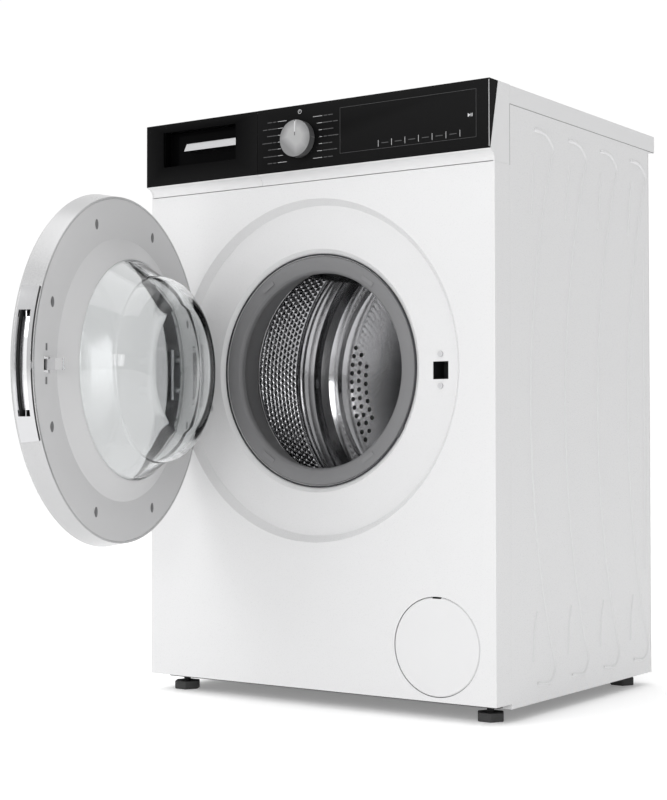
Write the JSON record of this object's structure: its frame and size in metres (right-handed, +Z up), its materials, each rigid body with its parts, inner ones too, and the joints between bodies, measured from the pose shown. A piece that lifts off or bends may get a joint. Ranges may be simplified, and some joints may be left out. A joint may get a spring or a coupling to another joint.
{
  "type": "front load washing machine",
  "caption": "White freestanding front load washing machine with an open glass bowl door, black control fascia, detergent drawer, sprung tub and steel drum.",
  "frame": {"origin": "on the floor under the middle of the cabinet's footprint", "axes": "+X to the right seen from the front, +Y from the front panel to the back, +Z up"},
  "size_m": [0.5962, 0.9706, 0.85],
  "materials": {
    "white_enamel": "smooth stoved enamel",
    "white_plastic": "smooth moulded plastic",
    "white_worktop": "white laminate",
    "zinc_steel": "zinc plated",
    "dark_plastic": "fine grain",
    "black_gloss": "polished",
    "circuit_board": "lacquered",
    "black_rubber": "matte",
    "grey_rubber": "matte",
    "chrome": "polished",
    "grey_plastic": "fine grain",
    "concrete": "rough cast",
    "drum_steel": "bright stainless",
    "cast_alloy": "as cast",
    "motor_iron": "painted",
    "silver_satin": "satin metallic",
    "light_grey_plastic": "satin",
    "clear_glass": "clear",
    "smoked_glass": "smoked"
  },
  "bodies": {
    "cabinet": {"left_side_panel": "white_enamel", "right_side_panel": "white_enamel", "rear_panel": "zinc_steel", "front_panel": "white_enamel", "worktop": "white_worktop", "top_rails": "zinc_steel", "base_tray": "dark_plastic", "fascia_frame": "white_plastic", "fascia_glass": "black_gloss", "control_board": "circuit_board", "drawer_housing": "white_plastic", "inlet_valve": "white_plastic", "fill_hoses": "black_rubber", "hinge_bracket": "zinc_steel", "hinge_pin": "zinc_steel", "door_lock": "dark_plastic", "cabinet_screws": "zinc_steel", "door_gasket": "grey_rubber", "gasket_band": "chrome", "drain_pump": "dark_plastic", "drain_hose": "grey_plastic", "sump_hose": "black_rubber", "mains_inlet": "dark_plastic", "suspension_springs": "zinc_steel", "damper_cylinders": "dark_plastic"},
    "tub": {"tub_front": "white_plastic", "tub_rear": "white_plastic", "front_counterweights": "concrete", "top_counterweight": "concrete", "bearings_and_seal": "zinc_steel", "motor": "motor_iron", "drive_belt": "black_rubber", "heater": "zinc_steel", "damper_rods": "zinc_steel"},
    "drum": {"drum_front": "drum_steel", "drum_shell": "drum_steel", "drum_rear": "drum_steel", "drum_lifters": "dark_plastic", "drum_spider": "cast_alloy", "drum_pulley": "cast_alloy"},
    "motor_rotor": {"motor_pulley": "zinc_steel"},
    "door": {"door_rim": "silver_satin", "door_inner_frame": "light_grey_plastic", "door_glass": "clear_glass", "door_window": "smoked_glass", "handle_plate": "chrome", "hinge_arm": "zinc_steel"},
    "handle": {"door_handle": "chrome"},
    "latch": {"latch_hook": "chrome"},
    "knob": {"program_knob": "silver_satin"},
    "drawer": {"drawer_front": "white_plastic", "drawer_glass": "black_gloss", "drawer_tray": "white_plastic", "drawer_grip": "dark_plastic"},
    "filter_flap": {"filter_cover": "white_enamel"},
    "filter_cap": {"filter_plug": "grey_plastic"},
    "front_left_foot_body": {"front_left_foot": "dark_plastic"},
    "front_right_foot_body": {"front_right_foot": "dark_plastic"},
    "rear_left_foot_body": {"rear_left_foot": "dark_plastic"},
    "rear_right_foot_body": {"rear_right_foot": "dark_plastic"}
  },
  "joints": [
    {"name": "door_hinge", "type": "hinge", "parent": "cabinet", "child": "door", "pos_m": [-0.215, -0.2705, 0.47], "axis": [0, 0, -1], "range_deg": [-76.5, 28.5]},
    {"name": "handle_pull", "type": "hinge", "parent": "door", "child": "handle", "pos_m": [-0.11818, -0.69307, 0.47], "axis": [0, 0, 1], "range_deg": [0, 12], "stiffness_Nm_per_rad": 2},
    {"name": "latch_turn", "type": "hinge", "parent": "door", "child": "latch", "pos_m": [-0.11231, -0.67469, 0.469], "axis": [0, 0, 1], "range_deg": [0, 8]},
    {"name": "tub_float", "type": "slide", "parent": "cabinet", "child": "tub", "axis": [0, 0, 1], "range_m": [-0.012, 0.008], "stiffness_N_per_m": 16000, "springref_m": 0.01713, "deforming": ["suspension_springs", "door_gasket", "fill_hoses", "sump_hose"]},
    {"name": "drum_spin", "type": "hinge", "parent": "tub", "child": "drum", "pos_m": [0, 0, 0.474], "axis": [0, 1, 0], "continuous": true},
    {"name": "motor_spin", "type": "hinge", "parent": "tub", "child": "motor_rotor", "pos_m": [0.02, 0.19, 0.115], "axis": [0, 1, 0], "continuous": true},
    {"name": "knob_turn", "type": "hinge", "parent": "cabinet", "child": "knob", "pos_m": [-0.0105, -0.254, 0.801], "axis": [0, -1, 0], "continuous": true},
    {"name": "drawer_slide", "type": "slide", "parent": "cabinet", "child": "drawer", "axis": [0, -1, 0], "range_m": [0, 0.19]},
    {"name": "filter_cover_flip", "type": "hinge", "parent": "cabinet", "child": "filter_flap", "pos_m": [0.206, -0.253, 0.0375], "axis": [1, 0, 0], "range_deg": [0, 80]},
    {"name": "filter_plug_turn", "type": "hinge", "parent": "cabinet", "child": "filter_cap", "pos_m": [0.206, -0.254, 0.098], "axis": [0, -1, 0], "range_deg": [0, 100]},
    {"name": "front_left_foot_turn", "type": "hinge", "parent": "cabinet", "child": "front_left_foot_body", "pos_m": [-0.2635, -0.21, 0.02], "axis": [0, 0, 1], "continuous": true},
    {"name": "front_right_foot_turn", "type": "hinge", "parent": "cabinet", "child": "front_right_foot_body", "pos_m": [0.2635, -0.21, 0.02], "axis": [0, 0, 1], "continuous": true},
    {"name": "rear_left_foot_turn", "type": "hinge", "parent": "cabinet", "child": "rear_left_foot_body", "pos_m": [-0.2635, 0.196, 0.02], "axis": [0, 0, 1], "continuous": true},
    {"name": "rear_right_foot_turn", "type": "hinge", "parent": "cabinet", "child": "rear_right_foot_body", "pos_m": [0.2635, 0.196, 0.02], "axis": [0, 0, 1], "continuous": true}
  ],
  "couplings": [
    {"joint": "latch_turn", "follows": "handle_pull", "ratio": 0.66667},
    {"joint": "motor_spin", "follows": "drum_spin", "ratio": 12.727}
  ]
}
